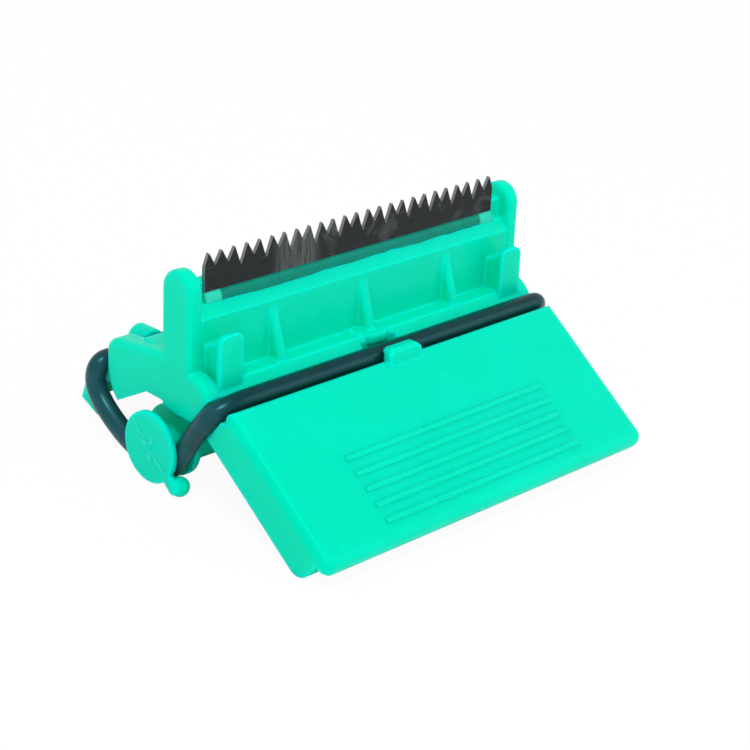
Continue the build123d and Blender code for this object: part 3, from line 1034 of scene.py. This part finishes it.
@dataclass
class MouldMarks:
    """The raised parting line and gate scars that the mould left on the core bar's end discs."""

    whitened: bpy.types.Material
    upright: UprightFrame
    disc_radius: float = 4.7
    gate_height: float = 0.1
    edge_gap: float = 0.3
    line_turn: float = 222.0
    line_half: float = 0.12
    scar_turns: Point = (266.0, 20.0, 118.0)
    scar_start: float = 0.4
    scar_length: float = 1.4
    scar_half: float = 0.24
    proud: float = 0.08
    sunk: float = 0.05
    tail_share: float = 0.3
    taper_pace: float = 6.0
    wobble: float = 0.05
    wobble_pace: float = 7.0
    steps: int = 24

    def centre(self) -> Point:
        """Find the middle of an end disc's outer face.

        Returns:
            Half length along, back and up of the bar's axis, in upright millimetres.
        """
        low, high = (Vector(corner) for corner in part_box("core_bar"))
        axis = Vector((0, high.y - self.disc_radius * MM, low.z + self.disc_radius * MM))
        place = self.upright.matrix().inverted() @ axis / MM
        return high.x / MM - self.gate_height, place.y, place.z

    def mark(self, name: str, side: int, turn: float, start: float, length: float, half_width: float) -> None:
        """Lay one raised line on an end disc's face.

        Args:
            name: The piece's name.
            side: -1 for the left disc, 1 for the right disc.
            turn: Its heading in the disc's plane, in degrees.
            start: Where it starts on its heading, counted from the disc's centre.
            length: Its length.
            half_width: Half its width at its middle.
        """
        reach, back, up = self.centre()
        heading = Vector((0, math.cos(math.radians(turn)), math.sin(math.radians(turn))))
        across = Vector((0, -heading.z, heading.y))
        outward = Vector((side, 0, 0))
        origin = Vector((side * reach, back, up)) + heading * start
        rings = []
        for step in range(self.steps + 1):
            share = step / self.steps
            taper = min(1.0, self.taper_pace * min(share, 1 - share)) ** 0.5
            size = self.tail_share + (1 - self.tail_share) * taper
            sway = self.wobble * noise.noise(Vector((share * self.wobble_pace, side, turn)))
            middle = origin + heading * (share * length) + across * sway
            foot, spread = middle - outward * self.sunk, across * (half_width * size)
            crown = middle + outward * (self.proud * size)
            rings.append([(foot + spread) * MM, crown * MM, (foot - spread) * MM])
        mesh = to_mesh(swept(rings), name, self.whitened)
        mesh.transform(self.upright.matrix())
        mesh_piece(name, mesh, Body.BAR)

    def build(self) -> None:
        """Lay the parting line and the gate scars on both discs."""
        reach = self.disc_radius - self.edge_gap
        for side, word in ((-1, "left"), (1, "right")):
            self.mark(f"parting_line_{word}", side, self.line_turn, -reach, 2 * reach, self.line_half)
            for number, turn in enumerate(self.scar_turns, start=1):
                name = f"gate_scar_{word}_{number}"
                self.mark(name, side, turn, self.scar_start, self.scar_length, self.scar_half)


@dataclass
class RubberLoop:
    """The closed ring of rubber cord, from groove to groove round both necks of the core bar."""

    rubber: bpy.types.Material
    upright: UprightFrame
    radius: float = 1.35
    front_run: Pair = (-7.2, -16.95)
    rear_run: Pair = (15.9, -18.25)
    strand: float = 29.9
    front_bends: Pair = (12.0, 4.5)
    rear_bend: float = 3.8
    front_turn: Pair = (-3.3, -21.8)
    belly_turn: Pair = (16.2, -22.4)
    rear_turn: Pair = (9.4, -26.95)
    neck: Pair = (2.7, -24.85)
    wrap_radius: float = 3.3
    wrap_steps: int = 3
    stretch_from: float = 19.4
    stretch_to: float = 26.2
    round_steps: int = 6
    route_steps: int = 24
    route_order: int = 3

    def touch_angle(self, turn: Pair, side: int) -> float:
        """Find where, round the neck, the cord from a turn touches it.

        Args:
            turn: The turn that the cord comes from, back and up.
            side: -1 where the neck lies to the left of the cord's way, 1 where it lies to the right.

        Returns:
            The angle, in radians from straight back.
        """
        back, up = self.neck[0] - turn[0], self.neck[1] - turn[1]
        heading = math.atan2(up, back) + side * math.asin(self.wrap_radius / math.hypot(back, up))
        return (heading + side * math.pi / 2) % (2 * math.pi)

    def half_route(self, front_bend: float) -> list[Point]:
        """List the control points of one half, from the front run's middle to the rear run's middle.

        Args:
            front_bend: How far from its corner the front run starts to bend.

        Returns:
            Upright points of the right half, along, back and up.
        """
        route = [(along, *self.front_run) for along in (0.0, self.strand / 2, self.strand - front_bend)]
        route += [(self.strand, *self.front_run), (self.strand, *self.front_turn)]
        first, last = self.touch_angle(self.front_turn, -1), self.touch_angle(self.rear_turn, 1)
        step = (last - first) / self.wrap_steps
        reach = self.wrap_radius / math.cos(step / 2)
        for turn in range(self.wrap_steps):
            angle = first + (turn + 0.5) * step
            back, up = self.neck[0] + reach * math.cos(angle), self.neck[1] + reach * math.sin(angle)
            route.append((self.strand, back, up))
        route += [(self.strand, *turn) for turn in (self.rear_turn, self.belly_turn, self.rear_run)]
        inwards = (self.strand - self.rear_bend, self.strand / 2, 0.0)
        return route + [(along, *self.rear_run) for along in inwards]

    def cord(self) -> bpy.types.Mesh:
        """Sweep the cord along the whole ring.

        Returns:
            The ring's mesh, in its standing place.
        """
        left, right = (self.half_route(bend) for bend in self.front_bends)
        ring = right + [(-along, back, up) for along, back, up in reversed(left[1:-1])]
        curve = bpy.data.curves.new("loop_route", "CURVE")
        curve.dimensions = "3D"
        curve.bevel_depth = self.radius * MM
        curve.bevel_resolution = self.round_steps
        curve.resolution_u = self.route_steps
        spline = curve.splines.new("NURBS")
        spline.points.add(len(ring) - 1)
        for point, place in zip(spline.points, ring):
            point.co = (*self.upright.point(*place), 1)
        spline.use_cyclic_u = True
        spline.order_u = self.route_order
        return plain_mesh(linked("loop_holder", curve))

    def build(self) -> None:
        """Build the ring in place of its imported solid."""
        mesh = self.cord()
        mesh.materials.clear()
        mesh.materials.append(self.rubber)
        piece = linked("rubber_ring", mesh)
        self.upright.point(0, 0, -self.stretch_from)
        self.upright.point(0, 0, -self.stretch_to)
        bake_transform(piece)
        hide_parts("rubber_loop")
        LOG.info("rubber_ring: %d faces", len(mesh.polygons))


@dataclass(frozen=True)
class Lamp:
    """A soft square lamp that faces the cutter.

    Attributes:
        name: The lamp's name.
        place: Its place, in metres.
        size: Its side, in metres.
        power: Its power, in watts.
    """

    name: str
    place: Point
    size: float
    power: float

    def hang(self) -> None:
        """Hang the lamp in its place."""
        data = bpy.data.lights.new(self.name, "AREA")
        data.shape = "SQUARE"
        data.size = self.size
        data.energy = self.power
        lamp = linked(self.name, data)
        lamp.location = self.place
        lamp.rotation_euler = (-Vector(self.place)).to_track_quat("-Z", "Y").to_euler()


@dataclass(frozen=True)
class Studio:
    """A pale floor under soft light, and a camera at the photograph's angle."""

    upright: UprightFrame
    camera_place: Point = (-183.0, -181.79, 86.34)
    camera_heading: float = 45.936
    camera_pitch: float = -22.895
    camera_roll: float = 2.742
    focal_pixels: float = 2106.8
    image_pixels: float = 750.0
    sensor: float = 36.0
    near_clip: float = 0.01
    floor_half: float = 3.0
    floor_wash: float = 0.94
    paper_shade: str = "f7f7f7"
    paper_pale: str = "fbfbfb"
    paper_grain: float = 0.8
    paper_roughness: float = 0.9
    paper_shine: float = 0.1
    air_light: float = 0.62
    air_shown: float = 1.0
    lamps: tuple[Lamp, ...] = (
        Lamp("key_lamp", (-0.3, -0.2, 0.8), size=0.22, power=3.4),
        Lamp("fill_lamp", (0.55, -0.6, 0.45), size=0.6, power=1.3),
    )

    def add_camera(self) -> None:
        """Place the camera in the upright frame, as fitted to the photograph."""
        data = bpy.data.cameras.new("camera")
        data.sensor_width = self.sensor
        data.lens = self.focal_pixels * self.sensor / self.image_pixels
        data.clip_start = self.near_clip
        camera = linked("camera", data)
        turn = (
            Matrix.Rotation(-math.radians(self.camera_heading), 4, "Z")
            @ Matrix.Rotation(math.radians(90 + self.camera_pitch), 4, "X")
            @ Matrix.Rotation(math.radians(self.camera_roll), 4, "Z")
        )
        place = Matrix.Translation(Vector(self.camera_place) * MM)
        camera.matrix_world = self.upright.matrix() @ place @ turn
        bpy.context.scene.camera = camera

    def paper(self) -> bpy.types.Material:
        """Make the floor's white card, which looks whiter to the camera than it is to the light.

        Returns:
            The finished material.
        """
        tree = ShaderTree("white_card")
        colour = tree.mix(tree.clouds(self.paper_grain, detail=2.0), self.paper_shade, self.paper_pale)
        card = tree.add("ShaderNodeBsdfPrincipled", {
            "Base Color": colour, "Roughness": self.paper_roughness, "Specular IOR Level": self.paper_shine,
        })
        seen = tree.add("ShaderNodeLightPath", {}).outputs["Is Camera Ray"]
        wash = tree.calculate("MULTIPLY", seen, self.floor_wash)
        white = tree.add("ShaderNodeEmission", {"Color": WHITE, "Strength": 1.0})
        shown = tree.add("ShaderNodeMixShader", {0: wash, 1: card, 2: white})
        tree.add("ShaderNodeOutputMaterial", {"Surface": shown})
        return tree.material

    def add_floor(self) -> None:
        """Lay the floor."""
        shell = bmesh.new()
        bmesh.ops.create_grid(shell, x_segments=1, y_segments=1, size=self.floor_half)
        floor = linked("floor", to_mesh(shell, "floor", self.paper(), smooth=False))

    def add_world(self) -> None:
        """Light the air evenly, and show it as white to the camera."""
        world = bpy.data.worlds.new("studio_air")
        world.use_nodes = True
        world.node_tree.nodes.clear()
        tree = NodeTree(world.node_tree)
        seen = tree.add("ShaderNodeLightPath", {}).outputs["Is Camera Ray"]
        strength = tree.add("ShaderNodeMapRange", {
            "Value": seen, "To Min": self.air_light, "To Max": self.air_shown,
        })
        air = tree.add("ShaderNodeBackground", {"Color": WHITE, "Strength": strength})
        tree.add("ShaderNodeOutputWorld", {"Surface": air})
        bpy.context.scene.world = world

    def build(self) -> None:
        """Build the studio."""
        self.add_camera()
        self.add_floor()
        for lamp in self.lamps:
            lamp.hang()
        self.add_world()
        bpy.context.scene.view_settings.view_transform = "Standard"
        LOG.info("studio: camera, floor, lamps")


def main() -> None:
    """Build the pieces in order."""
    logging.basicConfig(level=logging.INFO, format="%(name)s: %(message)s")
    plastic = MouldedPlastic().material()
    upright = UprightFrame.of_model(Blade.thickness)
    Studio(upright).build()
    dress_solid("saddle", plastic)
    GripRidges(RIDGE_PLASTIC.material()).build()
    Blade(TemperedSteel().material(), ShearedSteel().material(), upright).build()
    GlueBead(SetGlue().material(), upright).build()
    dress_solid("core_bar", plastic)
    MouldMarks(WHITENED_PLASTIC.material(), upright).build()
    RubberLoop(ExtrudedRubber().material(), upright).build()


if __name__ == "__main__":
    main()
